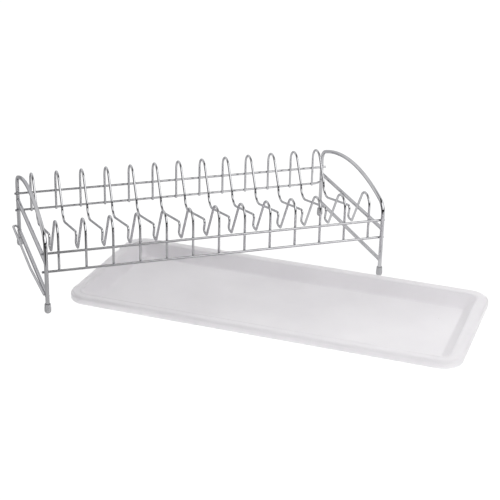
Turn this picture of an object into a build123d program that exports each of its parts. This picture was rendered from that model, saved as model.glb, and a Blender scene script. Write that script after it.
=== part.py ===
from build123d import *
import os
from math import atan2, cos, degrees, radians, sin, sqrt, tan

# Dish drying rack of chromed steel wire, with a loose plastic drip tray.
# Millimetres. The origin is on the worktop, midway between the four feet.
# +X runs along the rack to its right-hand end, +Y to its rear and +Z up.

# Rack, measured between rod centres
RACK_LENGTH = 450.0
RACK_DEPTH = 228.0
FRAME_ROD = 5.2
WIRE = 3.2
WELD_SINK = 0.3

# End frames: two legs joined over the top by a shallow arch
CROWN_HEIGHT = 123.5
CROWN_RADIUS = 300.0
SHOULDER_RADIUS = 18.0

# Rails, heights of their centre lines
UPPER_CROSS_RAIL_HEIGHT = 68.0
LOWER_CROSS_RAIL_HEIGHT = 23.0
UPPER_LONG_RAIL_HEIGHT = 79.1
LOWER_LONG_RAIL_HEIGHT = 54.5
RAIL_OVERHANG = 5.0
RAIL_END_CHAMFER = 0.4
CURLED_END_RISE = 4.0
CURLED_END_RUN = 12.0

# Plate wires: a tall hoop at the rear, a floor, a trough and a hoop at the front
PLATE_WIRE_COUNT = 13
REAR_HOOP_CROWN = 112.0
REAR_HOOP_RADIUS = 15.4
REAR_HOOP_LEAN = 31.4
FRONT_HOOP_CROWN = 112.9
FRONT_HOOP_RADIUS = 14.5
FRONT_HOOP_LEAN = 31.3
KNEE_HEIGHT = 74.5
HEEL_HEIGHT = 54.0
HEEL_STEP = 3.7
TROUGH_HEIGHT = 57.2
TROUGH_WIDTH = 14.7
RIDGE_HEIGHT = 76.2
RIDGE_OVERHANG = 6.6
KNEE_BEND = 14.0
HEEL_BEND = 16.0
RIDGE_BEND = 4.3
TROUGH_BEND = 4.2

# Foot caps pushed over the ends of the legs
CAP_WALL = 1.7
CAP_HEIGHT = 13.0
CAP_FLOOR = 3.0
CAP_BOTTOM_ROUND = 3.2
CAP_LIP_ROUND = 0.8

# Wire along the outside of the left end
SIDE_WIRE_RISE = 3.0
SIDE_WIRE_BOW = 3.5
SIDE_WIRE_BOW_LENGTH = 85.0
SIDE_WIRE_LOOP_RADIUS = 3.1
SIDE_WIRE_LOOP_REACH = 11.5
SIDE_WIRE_BEND = 120.0

# Drip tray: flat floor, sloping walls and a broad rim with a turned-down lip
TRAY_END_OVERHANG = 27.5
TRAY_SIDE_CLEARANCE = 2.4
TRAY_HEAD_CLEARANCE = 2.4
TRAY_WALL = 1.8
TRAY_CORNER_RADIUS = 27.0
RIM_WIDTH = 15.0
RIM_ROUND = 4.0
LIP_DROP = 10.0
WALL_RUN = 14.0
FLOOR_CORNER_RADIUS = 7.0

# Where the tray lies: askew, half under the rack, clear of the two front feet
TRAY_TURN = -37.4
TRAY_TO_LEFT_FOOT = 6.6
TRAY_TO_RIGHT_FOOT = 32.3

# Sizes that follow: the tray slides lengthwise between the feet and under the cross rails
CAP_DIAMETER = FRAME_ROD + 2 * CAP_WALL
TRAY_LENGTH = RACK_LENGTH + 2 * TRAY_END_OVERHANG
TRAY_DEPTH = RACK_DEPTH - CAP_DIAMETER - 2 * TRAY_SIDE_CLEARANCE
TRAY_HEIGHT = LOWER_CROSS_RAIL_HEIGHT - FRAME_ROD / 2 - TRAY_HEAD_CLEARANCE

# Places that follow
END_X = RACK_LENGTH / 2
LEG_Y = RACK_DEPTH / 2
RAIL_Y = LEG_Y - FRAME_ROD / 2 - WIRE / 2 + WELD_SINK
PLATE_WIRE_Y = RAIL_Y - WIRE + WELD_SINK
PLATE_WIRE_PITCH = RACK_LENGTH / PLATE_WIRE_COUNT
WIRE_END_Z = LOWER_LONG_RAIL_HEIGHT - WIRE / 2
SIDE_WIRE_Z = LOWER_CROSS_RAIL_HEIGHT + SIDE_WIRE_RISE


def rod(path, diameter):
    """A round rod along a centre line."""
    start = Plane(origin=path @ 0, z_dir=path % 0)
    return sweep(start * Circle(diameter / 2), path=path)


def straight_rod(start, end, diameter):
    return rod(Line(start, end), diameter)


def end_frame(x):
    """Front leg, arch and rear leg, bent from one rod in the plane at x."""
    crown_centre_z = CROWN_HEIGHT - CROWN_RADIUS
    shoulder_y = LEG_Y - SHOULDER_RADIUS
    shoulder_z = crown_centre_z + sqrt((CROWN_RADIUS - SHOULDER_RADIUS) ** 2 - shoulder_y**2)
    crown_half_angle = degrees(atan2(shoulder_y, shoulder_z - crown_centre_z))
    shoulder_angle = 90 - crown_half_angle
    front_leg = Line((-LEG_Y, CAP_FLOOR), (-LEG_Y, shoulder_z))
    front_shoulder = CenterArc((-shoulder_y, shoulder_z), SHOULDER_RADIUS, 180, -shoulder_angle)
    crown = CenterArc((0, crown_centre_z), CROWN_RADIUS, 90 + crown_half_angle, -2 * crown_half_angle)
    rear_shoulder = CenterArc((shoulder_y, shoulder_z), SHOULDER_RADIUS, shoulder_angle, -shoulder_angle)
    rear_leg = Line((LEG_Y, shoulder_z), (LEG_Y, CAP_FLOOR))
    path = Plane.YZ.offset(x) * (front_leg + front_shoulder + crown + rear_shoulder + rear_leg)
    return rod(path, FRAME_ROD)


def cross_rail(x, height):
    """Rod from leg to leg, its ends saddled on the legs and sunk into them by the weld."""
    rail = straight_rod((x, -LEG_Y, height), (x, LEG_Y, height), FRAME_ROD)
    saddle = Cylinder(FRAME_ROD / 2 - WELD_SINK, 2 * FRAME_ROD)
    for side in (-1, 1):
        rail -= Pos(x, side * LEG_Y, height) * saddle
    return rail


def long_rail(side, height):
    """Wire from end to end, welded to the inner side of the legs and just past them."""
    reach = END_X + RAIL_OVERHANG
    rail = straight_rod((-reach, side * RAIL_Y, height), (reach, side * RAIL_Y, height), WIRE)
    ends = rail.faces().sort_by(Axis.X)
    return chamfer(ends[0].edges() + ends[-1].edges(), RAIL_END_CHAMFER)


def curled_long_rail(height):
    """Rear wire whose right-hand end curls up to its weld on the leg."""
    angle = 2 * degrees(atan2(CURLED_END_RISE, CURLED_END_RUN))
    radius = CURLED_END_RUN / sin(radians(angle))
    bend_x = END_X - CURLED_END_RUN
    reach = END_X + RAIL_OVERHANG
    run = Line((-reach, height), (bend_x, height))
    curl = CenterArc((bend_x, height + radius), radius, -90, angle)
    rail = rod(Plane.XZ.offset(-RAIL_Y) * (run + curl), WIRE)
    straight_end = rail.faces().sort_by(Axis.X)[0]
    return chamfer(straight_end.edges(), RAIL_END_CHAMFER)


def hoop_apex(crown, radius, lean):
    """Height at which the leaning side of a hoop would meet its upright side."""
    return crown - radius + radius / tan(radians(lean) / 2)


def plate_wire_path():
    """Centre line in (y, z), from the rear lower rail over both hoops to the front lower rail."""
    rear_apex = hoop_apex(REAR_HOOP_CROWN, REAR_HOOP_RADIUS, REAR_HOOP_LEAN)
    front_apex = hoop_apex(FRONT_HOOP_CROWN, FRONT_HOOP_RADIUS, FRONT_HOOP_LEAN)
    knee_y = PLATE_WIRE_Y - (rear_apex - KNEE_HEIGHT) * tan(radians(REAR_HOOP_LEAN))
    heel_y = knee_y - HEEL_STEP
    trough_front_y = -PLATE_WIRE_Y + (front_apex - TROUGH_HEIGHT) * tan(radians(FRONT_HOOP_LEAN))
    trough_rear_y = trough_front_y + TROUGH_WIDTH
    ridge_y = trough_rear_y - RIDGE_OVERHANG
    corners = [
        (PLATE_WIRE_Y, WIRE_END_Z),
        (PLATE_WIRE_Y, rear_apex),
        (knee_y, KNEE_HEIGHT),
        (heel_y, HEEL_HEIGHT),
        (ridge_y, RIDGE_HEIGHT),
        (trough_rear_y, TROUGH_HEIGHT),
        (trough_front_y, TROUGH_HEIGHT),
        (-PLATE_WIRE_Y, front_apex),
        (-PLATE_WIRE_Y, WIRE_END_Z),
    ]
    bends = [
        REAR_HOOP_RADIUS,
        KNEE_BEND,
        HEEL_BEND,
        RIDGE_BEND,
        TROUGH_BEND,
        TROUGH_BEND,
        FRONT_HOOP_RADIUS,
    ]
    return FilletPolyline(*corners, radius=bends)


def plate_wire(x):
    """One continuous bent wire that stands a plate up between it and its neighbour."""
    return rod(Plane.YZ.offset(x) * plate_wire_path(), WIRE)


def side_wire():
    """Wire welded to the outside of the front left leg and looped round behind the rear one."""
    leg_side_x = -END_X - FRAME_ROD / 2 - WIRE / 2 + WELD_SINK
    outer_x = leg_side_x - SIDE_WIRE_BOW
    inner_x = outer_x + 2 * SIDE_WIRE_LOOP_RADIUS
    loop_y = LEG_Y + SIDE_WIRE_LOOP_REACH - SIDE_WIRE_LOOP_RADIUS - WIRE / 2
    end_y = LEG_Y + FRAME_ROD / 2 - WELD_SINK
    bow_end_y = SIDE_WIRE_BOW_LENGTH - LEG_Y
    corners = [(leg_side_x, -LEG_Y), (outer_x, bow_end_y), (outer_x, loop_y)]
    bow = FilletPolyline(*corners, radius=SIDE_WIRE_BEND)
    loop = CenterArc((outer_x + SIDE_WIRE_LOOP_RADIUS, loop_y), SIDE_WIRE_LOOP_RADIUS, 180, -180)
    tail = Line((inner_x, loop_y), (inner_x, end_y))
    return rod(Pos(0, 0, SIDE_WIRE_Z) * (bow + loop + tail), WIRE)


def foot_cap(x, y):
    """Soft cap with a blind bore for the leg and a rounded bottom."""
    cap = Pos(0, 0, CAP_HEIGHT / 2) * Cylinder(CAP_DIAMETER / 2, CAP_HEIGHT)
    cap = fillet(cap.edges().group_by(Axis.Z)[0], CAP_BOTTOM_ROUND)
    cap = fillet(cap.edges().group_by(Axis.Z)[-1], CAP_LIP_ROUND)
    bore_depth = CAP_HEIGHT - CAP_FLOOR
    cap -= Pos(0, 0, CAP_FLOOR + bore_depth / 2) * Cylinder(FRAME_ROD / 2, bore_depth)
    return Pos(x, y, 0) * cap


def tray_outline(inset, corner_radius):
    """The tray's rounded outline, drawn in from its outer edge."""
    return RectangleRounded(TRAY_LENGTH - 2 * inset, TRAY_DEPTH - 2 * inset, corner_radius)


def tray_basin(floor_z, grow):
    """The space between the sloping walls, from floor_z up, grown sideways all round."""
    floor = tray_outline(RIM_WIDTH + WALL_RUN - grow, FLOOR_CORNER_RADIUS + grow)
    mouth = tray_outline(RIM_WIDTH - grow, TRAY_CORNER_RADIUS - RIM_WIDTH + grow)
    return loft([Pos(0, 0, floor_z) * floor, Pos(0, 0, TRAY_HEIGHT) * mouth], ruled=True)


def tray_rim(inset, top):
    """A block under the rim, out to an outline, with a rounded upper edge."""
    block = extrude(tray_outline(inset, TRAY_CORNER_RADIUS - inset), top)
    return fillet(block.edges().group_by(Axis.Z)[-1], RIM_ROUND - inset)


def tray_place():
    """The tray's own axes on the worktop, set off from the front feet along each of them."""
    along = Vector(1, 0, 0).rotate(Axis.Z, TRAY_TURN)
    across = Vector(0, 1, 0).rotate(Axis.Z, TRAY_TURN)
    left_edge = Vector(-END_X, -LEG_Y, 0).dot(along) + CAP_DIAMETER / 2 + TRAY_TO_LEFT_FOOT
    rear_edge = Vector(END_X, -LEG_Y, 0).dot(across) - CAP_DIAMETER / 2 - TRAY_TO_RIGHT_FOOT
    centre = along * (left_edge + TRAY_LENGTH / 2) + across * (rear_edge - TRAY_DEPTH / 2)
    return Location(centre) * Rot(0, 0, TRAY_TURN)


def drip_tray():
    """Moulded tray in one even wall: floor, walls, rim and a lip that hangs clear of the worktop."""
    rim = tray_rim(0, TRAY_HEIGHT) - tray_rim(TRAY_WALL, TRAY_HEIGHT - TRAY_WALL)
    rim -= extrude(tray_outline(-1, TRAY_CORNER_RADIUS + 1), TRAY_HEIGHT - LIP_DROP)
    tray = rim + tray_basin(0, TRAY_WALL)
    tray -= tray_basin(TRAY_WALL, 0)
    return tray_place() * tray


def rack_nodes():
    nodes = {}
    for name, x in (("left", -END_X), ("right", END_X)):
        nodes[f"{name}_end_frame"] = end_frame(x)
        nodes[f"{name}_upper_cross_rail"] = cross_rail(x, UPPER_CROSS_RAIL_HEIGHT)
        nodes[f"{name}_lower_cross_rail"] = cross_rail(x, LOWER_CROSS_RAIL_HEIGHT)
        nodes[f"{name}_front_foot_cap"] = foot_cap(x, -LEG_Y)
        nodes[f"{name}_rear_foot_cap"] = foot_cap(x, LEG_Y)
    nodes["front_upper_rail"] = long_rail(-1, UPPER_LONG_RAIL_HEIGHT)
    nodes["front_lower_rail"] = long_rail(-1, LOWER_LONG_RAIL_HEIGHT)
    nodes["rear_upper_rail"] = long_rail(1, UPPER_LONG_RAIL_HEIGHT)
    nodes["rear_lower_rail"] = curled_long_rail(LOWER_LONG_RAIL_HEIGHT)
    for number in range(1, PLATE_WIRE_COUNT + 1):
        x = -END_X + (number - 0.5) * PLATE_WIRE_PITCH
        nodes[f"plate_wire_{number:02d}"] = plate_wire(x)
    nodes["left_side_wire"] = side_wire()
    return nodes


def main():
    os.makedirs("parts", exist_ok=True)
    nodes = rack_nodes()
    nodes["drip_tray"] = drip_tray()
    for name, solid in nodes.items():
        export_step(solid, f"parts/{name}.step")


main()
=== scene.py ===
import bpy
import bmesh
from math import atan, cos, degrees, pi, radians, sin, sqrt, tan, tau
from mathutils import Matrix, Vector, noise


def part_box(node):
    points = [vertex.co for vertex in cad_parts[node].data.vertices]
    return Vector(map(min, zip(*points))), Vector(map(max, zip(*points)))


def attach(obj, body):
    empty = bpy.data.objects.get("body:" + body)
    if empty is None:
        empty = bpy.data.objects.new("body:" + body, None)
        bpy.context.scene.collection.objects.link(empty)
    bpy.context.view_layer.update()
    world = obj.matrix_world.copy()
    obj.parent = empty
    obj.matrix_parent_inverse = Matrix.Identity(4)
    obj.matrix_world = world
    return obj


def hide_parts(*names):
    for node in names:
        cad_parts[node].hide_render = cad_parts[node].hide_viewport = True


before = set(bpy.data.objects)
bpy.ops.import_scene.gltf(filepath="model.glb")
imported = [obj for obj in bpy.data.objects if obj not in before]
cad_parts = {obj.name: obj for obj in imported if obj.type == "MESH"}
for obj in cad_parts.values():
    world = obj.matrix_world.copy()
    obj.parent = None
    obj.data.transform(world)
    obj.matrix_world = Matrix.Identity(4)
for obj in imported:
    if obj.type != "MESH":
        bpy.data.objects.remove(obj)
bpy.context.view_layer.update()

# Sizes below are in millimetres unless a comment says otherwise
MM = 0.001

FRAME_ROD = 5.2
WIRE = 3.2

# Two welded wires overlap by twice this
WELD_SINK = 0.15

# Drip tray, in its own axes: length along X, depth along Y
TRAY_LENGTH = 505.0
TRAY_DEPTH = 214.6
TRAY_HEIGHT = 18.0
TRAY_WALL = 1.8
TRAY_TURN = radians(-37.4)
TRAY_CORNER = 27.0
RIM_WIDTH = 15.0
FLOOR_INSET = 29.0
FLOOR_CORNER = 7.0

LEFT_RIGHT = ("left", "right")
FRONT_REAR = ("front", "rear")
PLATE_WIRES = [f"plate_wire_{n:02d}" for n in range(1, 14)]
LONG_RAILS = ("front_upper_rail", "front_lower_rail", "rear_upper_rail", "rear_lower_rail")


# ---------------------------------------------------------------- materials

def new_material(name):
    mat = bpy.data.materials.new(name)
    mat.use_nodes = True
    return mat, mat.node_tree, mat.node_tree.nodes["Principled BSDF"]


def set_inputs(node, **values):
    """Sets the inputs of a node by name, with _ for each space."""
    for key, value in values.items():
        node.inputs[key.replace("_", " ")].default_value = value


def noise_node(tree, scale, detail):
    """Noise in object space, which for every piece here is the row frame."""
    coords = tree.nodes.new("ShaderNodeTexCoord")
    texture = tree.nodes.new("ShaderNodeTexNoise")
    set_inputs(texture, Scale=scale, Detail=detail)
    tree.links.new(coords.outputs["Object"], texture.inputs["Vector"])
    return texture.outputs["Fac"]


def ramp_node(tree, source, low, high):
    """Turns a noise into colours between low and high."""
    ramp = tree.nodes.new("ShaderNodeValToRGB")
    for element, position, colour in zip(ramp.color_ramp.elements, (0.3, 0.7), (low, high)):
        element.position = position
        element.color = (*colour, 1)
    tree.links.new(source, ramp.inputs["Fac"])
    return ramp.outputs["Color"]


def range_node(tree, source, start, end, low, high, curve="LINEAR"):
    """Turns a number that runs from start to end into one that runs from low to high."""
    node = tree.nodes.new("ShaderNodeMapRange")
    node.interpolation_type = curve
    set_inputs(node, From_Min=start, From_Max=end, To_Min=low, To_Max=high)
    tree.links.new(source, node.inputs["Value"])
    return node.outputs["Result"]


def noise_material(name, clouds, haze, grain):
    """A material with its colour, roughness and bump from noise.

    clouds: noise scale and detail, darkest colour, lightest colour
    haze: noise scale and detail, lowest roughness, highest roughness
    grain: noise scale and detail, bump strength, bump distance in metres
    """
    mat, tree, bsdf = new_material(name)
    scale, detail, low, high = clouds
    colour = ramp_node(tree, noise_node(tree, scale, detail), low, high)
    tree.links.new(colour, bsdf.inputs["Base Color"])
    scale, detail, low, high = haze
    roughness = range_node(tree, noise_node(tree, scale, detail), 0.3, 0.7, low, high)
    tree.links.new(roughness, bsdf.inputs["Roughness"])
    scale, detail, strength, distance = grain
    bump = tree.nodes.new("ShaderNodeBump")
    set_inputs(bump, Strength=strength, Distance=distance)
    tree.links.new(noise_node(tree, scale, detail), bump.inputs["Height"])
    tree.links.new(bump.outputs["Normal"], bsdf.inputs["Normal"])
    return mat, bsdf


def chrome_material(name, low, high, smoothest, roughest, waviness):
    """Bright plate with faint cloudiness and the fine waviness of drawn wire."""
    mat, bsdf = noise_material(
        name, (45.0, 4.0, low, high), (260.0, 3.0, smoothest, roughest), (400.0, 2.0, waviness, 0.0001))
    set_inputs(bsdf, Metallic=1.0, Specular_Tint=(0.6, 0.6, 0.62, 1))
    return mat


def tray_material(name, glow_through):
    """Frosted translucent plastic: cloudy inside, finely grained outside."""
    mat, bsdf = noise_material(
        name, (9.0, 6.0, (0.785, 0.77, 0.79), (0.85, 0.835, 0.855)), (60.0, 5.0, 0.36, 0.5),
        (1500.0, 2.0, 0.12, 0.0002))
    set_inputs(bsdf, Subsurface_Weight=glow_through, Subsurface_Radius=(0.003, 0.003, 0.003),
               Subsurface_Scale=1.0, IOR=1.49)
    return mat


chrome = chrome_material("chrome_plate", (0.5, 0.5, 0.515), (0.57, 0.57, 0.585), 0.04, 0.09, 0.02)
weld_chrome = chrome_material("chrome_weld", (0.32, 0.32, 0.33), (0.44, 0.44, 0.45), 0.14, 0.28, 0.3)
cap_plastic, _ = noise_material(
    "foot_cap_plastic", (180.0, 4.0, (0.36, 0.36, 0.375), (0.45, 0.45, 0.465)), (500.0, 3.0, 0.38, 0.52),
    (1800.0, 2.0, 0.25, 0.0002))
tray_plastic = tray_material("frosted_plastic", 1.0)
gate_plastic = tray_material("frosted_plastic_gate", 0.0)

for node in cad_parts.values():
    for material_slot in node.material_slots:
        material_slot.material = chrome


# ---------------------------------------------------------------- mesh helpers

def add_to_scene(name, data):
    thing = bpy.data.objects.new(name, data)
    bpy.context.scene.collection.objects.link(thing)
    return thing


def mesh_object(name, bm, material):
    mesh = bpy.data.meshes.new(name)
    bm.to_mesh(mesh)
    bm.free()
    mesh.materials.append(material)
    return add_to_scene(name, mesh)


def make_piece(name, bm, material, body):
    bmesh.ops.recalc_face_normals(bm, faces=bm.faces)
    piece = mesh_object(name, bm, material)
    piece.data.shade_smooth()
    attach(piece, body)
    return piece


def turns_round(count):
    return [tau * a / count for a in range(count)]


def skin(bm, rows):
    """Quads from each row of vertices to the next. Each row is a closed ring."""
    for upper, lower in zip(rows, rows[1:]):
        for a in range(len(upper)):
            b = (a + 1) % len(upper)
            bm.faces.new((upper[a], upper[b], lower[b], lower[a]))


def centre_of(name):
    low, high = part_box(name)
    return (low + high) / 2


# ---------------------------------------------------------------- welds

NUGGET_RINGS = 7
NUGGET_AROUND = 14
NUGGET_LUMPS = 0.12
NUGGET_LUMP_SCALE = 1.7

WIRE_NUGGET = (1.75, 0.75, 1.75)
LEG_NUGGET = (2.3, 0.8, 1.9)
SIDE_WIRE_NUGGET = (1.0, 1.0, 1.8)
SIDE_WIRE_WELDS = [(-227.5, -114.0), (-226.2, 116.3)]

# The rear lower rail curls up at its right-hand end, and meets the leg this much higher
CURL_RISE = 4.0

BEAD = 0.42
BEAD_AROUND = 40
BEAD_SECTION = 8
BEAD_LUMPS = 0.25
BEAD_LUMP_SCALE = 900
SADDLE = 0.97 * FRAME_ROD / 2


def add_nugget(bm, place, size, seed):
    """The metal squeezed out where two wires are welded: a lumpy lens in the crevice between them."""
    size = [s * MM for s in size]
    rows = []
    for r in range(1, NUGGET_RINGS):
        polar = pi * r / NUGGET_RINGS
        row = []
        for turn in turns_round(NUGGET_AROUND):
            ray = Vector((sin(polar) * cos(turn), cos(polar), sin(polar) * sin(turn)))
            lump = 1 + NUGGET_LUMPS * noise.noise(ray * NUGGET_LUMP_SCALE + Vector((seed, 0, 0)))
            row.append(bm.verts.new(place + Vector([c * s * lump for c, s in zip(ray, size)])))
        rows.append(row)
    skin(bm, rows)
    bm.faces.new(rows[0])
    bm.faces.new(rows[-1])


def rail_welds(rail):
    """Nuggets where one long rail crosses the plate wires and meets the legs."""
    bm = bmesh.new()
    low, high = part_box(rail)
    side = 1 if low.y + high.y > 0 else -1
    z = low.z + WIRE / 2 * MM
    rail_y = (high.y if side > 0 else low.y) - side * WIRE / 2 * MM
    crevice = side * (WIRE / 2 - WELD_SINK) * MM
    for n, wire in enumerate(PLATE_WIRES):
        place = Vector((centre_of(wire).x, rail_y - crevice, z))
        add_nugget(bm, place, WIRE_NUGGET, n + z * 100)
    for end in LEFT_RIGHT:
        x = centre_of(f"{end}_end_frame").x
        rise = CURL_RISE * MM if rail == "rear_lower_rail" and end == "right" else 0.0
        add_nugget(bm, Vector((x, rail_y + crevice, z + rise)), LEG_NUGGET, 40 + x * 10)
    make_piece(f"{rail}_welds", bm, weld_chrome, "rack")


def side_wire_welds():
    """Nuggets where the side wire lies against the two left legs."""
    bm = bmesh.new()
    z = centre_of("left_side_wire").z
    for n, (x, y) in enumerate(SIDE_WIRE_WELDS):
        add_nugget(bm, Vector((x * MM, y * MM, z)), SIDE_WIRE_NUGGET, 60 + n)
    make_piece("left_side_wire_welds", bm, weld_chrome, "rack")


def cross_rail_welds(end, height):
    """Beads round both ends of a cross rail, where it is saddled on the legs."""
    name = f"{end}_{height}_cross_rail"
    middle = centre_of(name)
    leg_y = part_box(name)[1].y
    rod = FRAME_ROD / 2 * MM
    saddle = SADDLE * MM
    bm = bmesh.new()
    for side in (-1, 1):
        along = Vector((0, -side, 0))
        rows = []
        for turn in turns_round(BEAD_AROUND):
            across = saddle * cos(turn)
            inward = sqrt(rod ** 2 - across ** 2)
            centre = Vector((middle.x + across, side * (leg_y - inward), middle.z + saddle * sin(turn)))
            outward = Vector((cos(turn), 0, sin(turn)))
            lump = BEAD * MM * (1 + BEAD_LUMPS * noise.noise(centre * BEAD_LUMP_SCALE))
            rows.append([bm.verts.new(centre + (outward * cos(t) + along * sin(t)) * lump)
                         for t in turns_round(BEAD_SECTION)])
        skin(bm, rows + rows[:1])
    make_piece(f"{name}_welds", bm, weld_chrome, "rack")


for rail in LONG_RAILS:
    rail_welds(rail)
side_wire_welds()
for end in LEFT_RIGHT:
    for height in ("upper", "lower"):
        cross_rail_welds(end, height)


# ---------------------------------------------------------------- foot caps

# Half section of a cap, as (radius, height): rounded bottom, soft belly, taper, lip and blind bore
CAP_SECTION = [
    (0.0, 0.0), (1.1, 0.0), (2.2, 0.25), (3.2, 0.95), (3.95, 2.1), (4.28, 3.6), (4.3, 5.4),
    (4.22, 7.6), (4.05, 9.6), (3.9, 11.2), (3.92, 11.9), (3.82, 12.6), (3.45, 12.98),
    (2.95, 12.9), (2.62, 12.5), (2.62, 11.0), (2.62, 3.0), (0.0, 3.0),
]
CAP_AROUND = 40


def foot_cap(name):
    """Soft cap turned from its half section, with a blind bore that the leg's end fills."""
    middle = centre_of(name)
    place = Vector((middle.x, middle.y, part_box(name)[0].z))
    bm = bmesh.new()
    bottom = bm.verts.new(place)
    bore_end = bm.verts.new(place + Vector((0, 0, CAP_SECTION[-1][1])) * MM)
    rows = [[bm.verts.new(place + Vector((radius * cos(turn), radius * sin(turn), height)) * MM)
             for turn in turns_round(CAP_AROUND)]
            for radius, height in CAP_SECTION[1:-1]]
    skin(bm, rows)
    for a in range(CAP_AROUND):
        b = (a + 1) % CAP_AROUND
        bm.faces.new((bottom, rows[0][b], rows[0][a]))
        bm.faces.new((bore_end, rows[-1][a], rows[-1][b]))
    piece = make_piece(f"{name}_moulded", bm, cap_plastic, "rack")
    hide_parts(name)


for end in LEFT_RIGHT:
    for side in FRONT_REAR:
        foot_cap(f"{end}_{side}_foot_cap")


# ---------------------------------------------------------------- drip tray

CORNER_STEPS = 14
LONG_STEPS = 24
SHORT_STEPS = 12
UPPER_FLOOR_LOOPS = 16
LOWER_FLOOR_LOOPS = 8

# The innermost loop of the floor stops this far from the tray's long centre line
FLOOR_MIDDLE = 12.0

# Slight crown and waviness of a large thin moulding, eased in from the floor's edge
FLOOR_CROWN = 0.25
FLOOR_WAVE = 0.18
WAVE_SCALE = 0.012
CROWN_RUN = 25.0

# Where the plastic was let into the mould, and the size of the stub it left
GATE_MARK = (198.3, 38.5)
GATE_STUB = (1.5, 1.5, 0.5)

# Bends of the tray's section, by radius
FLOOR_BEND = 4.0
RIM_BEND = 1.6
RIM_ROUND = 4.0
RIM_FALL = 0.3

# Straight runs of the section, as (inset, z)
RIM_TOP_AND_BEAD = [
    (13.3, 17.72), (12.95, 17.98), (12.6, 18.05), (12.25, 17.98), (11.85, 17.74), (9.0, 17.84), (6.5, 17.96),
]
LIP = [(0.0, 11.0), (0.1, 8.9), (0.45, 8.2), (0.9, 8.0), (1.35, 8.2), (1.7, 8.9), (1.8, 11.0)]
UNDERSIDE = [(8.5, 16.1), (13.2, 15.8), (14.3, 14.6), (26.4, 1.1), (27.8, 0.25), (29.6, 0.0)]

WALL_RUN = FLOOR_INSET - RIM_WIDTH
WALL_ANGLE = atan((TRAY_HEIGHT - TRAY_WALL) / WALL_RUN)


def corner_at(inset):
    """Corner radius of the outline at an inset: concentric at the rim, tighter down the walls."""
    if inset <= RIM_WIDTH:
        return TRAY_CORNER - inset
    share = min((inset - RIM_WIDTH) / WALL_RUN, 1.0)
    return (TRAY_CORNER - RIM_WIDTH) * (1 - share) + FLOOR_CORNER * share


def outline(inset):
    """Points round a rounded rectangle, the same number for every inset, so that loops join up."""
    corner = corner_at(inset)
    half_x = TRAY_LENGTH / 2 - inset - corner
    half_y = TRAY_DEPTH / 2 - inset - corner
    centres = [Vector((sx * half_x, sy * half_y, 0)) for sx, sy in ((1, 1), (-1, 1), (-1, -1), (1, -1))]
    points = []
    for index, centre in enumerate(centres):
        turns = [radians(90 * index + 90 * step / CORNER_STEPS) for step in range(CORNER_STEPS + 1)]
        spokes = [corner * Vector((cos(turn), sin(turn), 0)) for turn in turns]
        points += [centre + spoke for spoke in spokes]
        begin = centre + spokes[-1]
        finish = centres[(index + 1) % 4] + spokes[-1]
        steps = LONG_STEPS if index % 2 == 0 else SHORT_STEPS
        points += [begin.lerp(finish, step / steps) for step in range(1, steps)]
    return points


def arc(centre_inset, centre_z, radius, start, end, steps):
    """Section points on an arc: angles in degrees, 0 towards the middle of the tray, 90 up."""
    turns = [radians(start + (end - start) * step / steps) for step in range(steps + 1)]
    return [(centre_inset + radius * cos(turn), centre_z + radius * sin(turn)) for turn in turns]


def tray_section():
    """Section from the floor, up the wall, over the rim and lip, and back under, as (inset, z)."""
    reach = FLOOR_BEND * tan(WALL_ANGLE / 2)
    lift = RIM_BEND * tan(WALL_ANGLE / 2)
    tilt = 90 - degrees(WALL_ANGLE)
    round_z = TRAY_HEIGHT - RIM_ROUND
    section = arc(FLOOR_INSET + reach, TRAY_WALL + FLOOR_BEND, FLOOR_BEND, 270, 180 + tilt, 6)
    section += arc(RIM_WIDTH - lift, TRAY_HEIGHT - RIM_FALL - RIM_BEND, RIM_BEND, tilt, 90, 5)
    section += RIM_TOP_AND_BEAD
    section += arc(RIM_ROUND, round_z, RIM_ROUND, 90, 180, 9)
    section += LIP
    section += arc(RIM_ROUND, round_z, RIM_ROUND - TRAY_WALL, 180, 90, 6)
    section += UNDERSIDE
    return section


def floor_loops(z, first_inset, count):
    """Loops that fill the floor inward from its edge, as (inset, z)."""
    run = TRAY_DEPTH / 2 - FLOOR_MIDDLE - first_inset
    return [(first_inset + run * k / count, z) for k in range(1, count + 1)]


def tray_point(point, z, on_floor):
    """A point of the tray in metres. The upper floor is crowned and wavy."""
    x, y = point.x, point.y
    if on_floor:
        wave = FLOOR_WAVE * noise.noise(Vector((x, y, 0)) * WAVE_SCALE)
        inside = min(TRAY_LENGTH / 2 - abs(x), TRAY_DEPTH / 2 - abs(y)) - FLOOR_INSET
        z += (FLOOR_CROWN + wave) * min(max(inside / CROWN_RUN, 0), 1)
    return Vector((x, y, z)) * MM


def build_tray(place):
    section = tray_section()
    upper_floor = floor_loops(TRAY_WALL, section[0][0], UPPER_FLOOR_LOOPS)
    lower_floor = floor_loops(0.0, section[-1][0], LOWER_FLOOR_LOOPS)
    bm = bmesh.new()

    def loop(inset, z, on_floor=False):
        return [bm.verts.new(place @ tray_point(point, z, on_floor)) for point in outline(inset)]

    loops = [loop(inset, z, True) for inset, z in reversed(upper_floor)]
    loops += [loop(inset, z) for inset, z in section + lower_floor]
    skin(bm, loops)
    bm.faces.new(loops[0])
    bm.faces.new(loops[-1])
    piece = make_piece("drip_tray_moulded", bm, tray_plastic, "tray")
    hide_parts("drip_tray")


def build_gate_mark(place):
    """The low stub left on the floor where the plastic was let into the mould."""
    bm = bmesh.new()
    gate = Vector((*GATE_MARK, TRAY_WALL + FLOOR_CROWN)) * MM
    add_nugget(bm, place @ gate, GATE_STUB, 7)
    make_piece("drip_tray_gate_mark", bm, gate_plastic, "tray")


tray_middle = centre_of("drip_tray")
tray_spot = Vector((tray_middle.x, tray_middle.y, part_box("drip_tray")[0].z))
tray_place = Matrix.Translation(tray_spot) @ Matrix.Rotation(TRAY_TURN, 4, "Z")
build_tray(tray_place)
build_gate_mark(tray_place)


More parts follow.
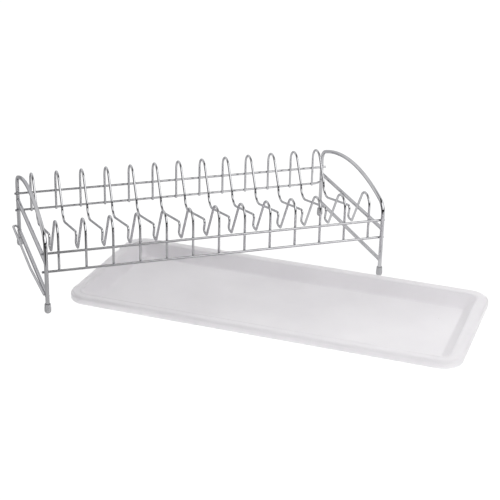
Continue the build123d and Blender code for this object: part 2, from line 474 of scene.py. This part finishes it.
# ---------------------------------------------------------------- stage, in metres

TABLE = [(-30, -30), (30, -30), (30, 30), (-30, 30)]
# Outline of a painted dark reflection: a black sheet in front of the rack that only the chrome sees.
DARK_REFLECTION_PATCH = [(-6, -0.1), (-0.6, -0.1), (-0.12, -0.33), (0.12, -0.33), (0.22, -0.6), (1.5, -6), (-6, -6)]

# The sheets' glow changes between these places along the rack. Only the painted table reflection differs
# from end to end: painted shade, dimmer towards the left.
GLOW_FROM, GLOW_TO = -0.5, 0.6

WALL_AROUND = 48
WALL_RADIUS = 29.0
WALL_BOTTOM, WALL_TOP = -0.5, 40.0


def glow_material(name, glow_left, glow_right):
    """A matt surface that glows from glow_left at the rack's left to glow_right at its right."""
    mat, tree, bsdf = new_material(name)
    set_inputs(bsdf, Base_Color=(0.1, 0.1, 0.1, 1), Roughness=1.0, Specular_IOR_Level=0.0,
               Emission_Color=(1, 1, 1, 1))
    coords = tree.nodes.new("ShaderNodeTexCoord")
    split = tree.nodes.new("ShaderNodeSeparateXYZ")
    tree.links.new(coords.outputs["Object"], split.inputs["Vector"])
    level = range_node(tree, split.outputs["X"], GLOW_FROM, GLOW_TO, glow_left, glow_right, "SMOOTHSTEP")
    tree.links.new(level, bsdf.inputs["Emission Strength"])
    return mat


def stage_sheet(name, corners, z, glow_left, glow_right):
    """A flat glowing sheet at height z."""
    bm = bmesh.new()
    bm.faces.new([bm.verts.new((x, y, z)) for x, y in corners])
    sheet = mesh_object(name, bm, glow_material(name, glow_left, glow_right))
    return sheet


def in_chrome_only(sheet):
    # Sheets made so are painted reflections: glossy rays see them and nothing else does.
    sheet.visible_camera = False
    sheet.visible_diffuse = False
    sheet.visible_shadow = False
    sheet.visible_transmission = False


def pale_wall():
    """A round white wall far off, which closes the view above the table from any side."""
    bm = bmesh.new()
    skin(bm, [[bm.verts.new((WALL_RADIUS * cos(turn), WALL_RADIUS * sin(turn), z))
               for turn in turns_round(WALL_AROUND)]
              for z in (WALL_BOTTOM, WALL_TOP)])
    wall = mesh_object("pale_wall", bm, glow_material("pale_wall", 1.0, 1.0))
    wall.visible_glossy = False
    wall.visible_diffuse = False
    wall.visible_shadow = False


def build_stage():
    """A pale table, wide enough to fill the view from any side, and painted reflections that only the chrome
    sees: the table with painted shade towards the left, and a painted dark patch in front of the rack.
    """
    pale_wall()
    table = stage_sheet("table", TABLE, -0.0003, 1.0, 1.0)
    table.visible_glossy = False
    # Painted reflection: a copy of the table that only the chrome sees, glowing dimmer towards the left as
    # painted shade.
    in_chrome_only(stage_sheet("painted_table_reflection", TABLE, -0.0002, 0.5, 1.05))
    # Painted reflection: a black sheet that only the chrome sees, standing in for shade on the floor in
    # front of the rack.
    in_chrome_only(stage_sheet("painted_dark_reflection", DARK_REFLECTION_PATCH, -0.0001, 0.0, 0.0))


# ---------------------------------------------------------------- light and camera, in metres

def ray_from(azimuth, elevation):
    """Azimuth 0 is straight in front of the rack and 90 is to its right, in degrees."""
    turn, rise = radians(azimuth), radians(elevation)
    return Vector((sin(turn) * cos(rise), -cos(turn) * cos(rise), sin(rise)))


def soft_box(name, azimuth, elevation, distance, size, radiance, aim=(0, 0, 0),
             in_chrome=True, on_plastic=True):
    """A lamp that faces aim, with size as (width, height)."""
    ray = ray_from(azimuth, elevation)
    data = bpy.data.lights.new(name, "AREA")
    data.shape = "RECTANGLE"
    data.size, data.size_y = size
    data.energy = radiance * pi * size[0] * size[1]
    light = add_to_scene(name, data)
    light.location = Vector(aim) + ray * distance
    light.rotation_euler = ray.to_track_quat("Z", "Y").to_euler()
    light.visible_glossy = in_chrome
    light.visible_diffuse = on_plastic


def studio_world():
    """Pale wall low behind the rack, dark room above and on the other side."""
    world = bpy.data.worlds.new("studio")
    bpy.context.scene.world = world
    world.use_nodes = True
    tree = world.node_tree
    coords = tree.nodes.new("ShaderNodeTexCoord")
    split = tree.nodes.new("ShaderNodeSeparateXYZ")
    tree.links.new(coords.outputs["Generated"], split.inputs["Vector"])
    behind = range_node(tree, split.outputs["Y"], 0.0, 0.35, 0.0, 1.0, "SMOOTHSTEP")
    below = range_node(tree, split.outputs["Z"], 0.75, 0.97, 1.0, 0.0, "SMOOTHSTEP")
    both = tree.nodes.new("ShaderNodeMath")
    both.operation = "MULTIPLY"
    tree.links.new(behind, both.inputs[0])
    tree.links.new(below, both.inputs[1])
    level = range_node(tree, both.outputs["Value"], 0.0, 1.0, 0.02, 1.0)
    tree.links.new(level, tree.nodes["Background"].inputs["Color"])


def place_camera():
    """The photograph's own camera, solved from the straight edges of the rack."""
    back = ray_from(-18.415, 22.882)
    roll = radians(1.406)
    distance = 1.828
    target = Vector((0.07806, 0, 0.0065))
    focal_pixels, photo_pixels = 1308.64, 500
    data = bpy.data.cameras.new("camera")
    data.sensor_width = 36
    data.lens = focal_pixels / photo_pixels * data.sensor_width
    data.clip_end = 50
    camera = add_to_scene("camera", data)
    right = (-back).cross(Vector((0, 0, 1))).normalized()
    up = right.cross(-back)
    rolled_right = right * cos(roll) + up * sin(roll)
    rolled_up = up * cos(roll) - right * sin(roll)
    turn = Matrix((rolled_right, rolled_up, back)).transposed().to_4x4()
    camera.matrix_world = Matrix.Translation(target + back * distance) @ turn
    bpy.context.scene.camera = camera


build_stage()
studio_world()
soft_box("key_soft_box", 48, 40, 2.4, (3.0, 2.0), 1.9, on_plastic=False)
soft_box("camera_soft_box", -20, 43, 2.4, (1.0, 2.3), 1.9, on_plastic=False)
soft_box("top_fill", 0, 89, 1.1, (0.7, 0.7), 2.5, aim=(0.32, -0.18, 0), in_chrome=False)
soft_box("front_fill", -14, 33, 1.25, (0.8, 0.6), 4.0, aim=(0.34, -0.22, 0), in_chrome=False)
soft_box("side_fill", 50, 30, 2.4, (2.4, 2.0), 0.3, in_chrome=False)
place_camera()
bpy.context.scene.view_settings.view_transform = "Standard"
